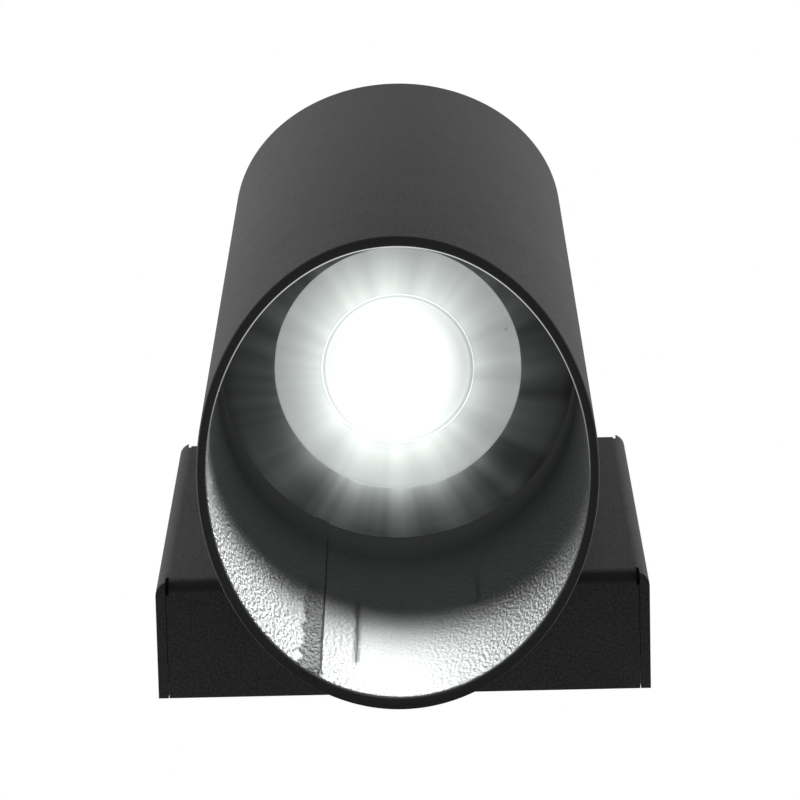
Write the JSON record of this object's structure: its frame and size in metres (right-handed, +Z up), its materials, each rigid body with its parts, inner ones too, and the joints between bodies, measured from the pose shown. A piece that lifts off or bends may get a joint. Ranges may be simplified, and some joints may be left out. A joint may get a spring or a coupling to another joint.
{
  "type": "tube wall light",
  "caption": "Slanted-end steel tube wall light on a folded cover, with a recessed spot lamp that twists out of its holder, wall plate and inner wiring.",
  "frame": {"origin": "centre of the wall screw pattern, on the wall plane", "axes": "+X right as seen from the room, +Y into the wall, +Z up; the tube stands out along -Y and its lit end points down"},
  "size_m": [0.1, 0.1011, 0.3034],
  "materials": {
    "powder_coat": "fine-texture matt powder coat",
    "black_screws": "black zinc",
    "black_steel": "matt black coat on pressed steel",
    "zinc_steel": "bright zinc plate",
    "black_rubber": "moulded, matt",
    "red_silicone": "moulded, satin",
    "black_polyamide": "moulded, matt",
    "white_polyamide": "moulded, matt",
    "steatite": "glazed ceramic",
    "brass": "machined",
    "tinned_copper": "pressed, tinned",
    "bezel_plastic": "pale grey-white, satin",
    "clear_lens": "clear, polished",
    "housing_plastic": "white, satin",
    "aluminium": "pressed",
    "white_board": "white solder mask",
    "phosphor": "silicone with phosphor",
    "green_board": "green solder mask",
    "nickel": "nickel plate",
    "brown_lead": "silicone insulation",
    "blue_lead": "silicone insulation",
    "earth_lead": "green and yellow silicone insulation"
  },
  "bodies": {
    "fixture": {"tube_body": "powder_coat", "cover": "powder_coat", "cover_screws": "black_screws", "wall_plate": "zinc_steel", "ear_nuts": "zinc_steel", "cable_bush": "black_rubber", "tube_screws": "zinc_steel", "screw_washers": "zinc_steel", "saddle_pads": "black_polyamide", "bracket_nuts": "zinc_steel", "lamp_bracket": "zinc_steel", "holder_face": "steatite", "lamp_holder": "steatite", "holder_contacts": "nickel", "holder_screws": "zinc_steel", "holder_washers": "zinc_steel", "baffle": "black_steel", "closing_disc": "black_steel", "lead_bush": "red_silicone", "live_lead": "brown_lead", "neutral_lead": "blue_lead", "earth_lug": "tinned_copper", "earth_lead": "earth_lead", "terminal_block": "white_polyamide", "terminal_clamps": "brass", "terminal_screws": "zinc_steel", "block_screw": "zinc_steel"},
    "lamp": {"lamp_housing": "housing_plastic", "lamp_bezel": "bezel_plastic", "lamp_lens": "clear_lens", "led_board": "white_board", "led_chip": "phosphor", "heat_sink": "aluminium", "driver_board": "green_board", "lamp_base": "housing_plastic", "lamp_pins": "nickel"}
  },
  "joints": [
    {"name": "lamp_twist", "type": "hinge", "parent": "fixture", "child": "lamp", "pos_m": [0, -0.06305, 0], "axis": [0, 0, 1], "range_deg": [-25, 0]}
  ]
}
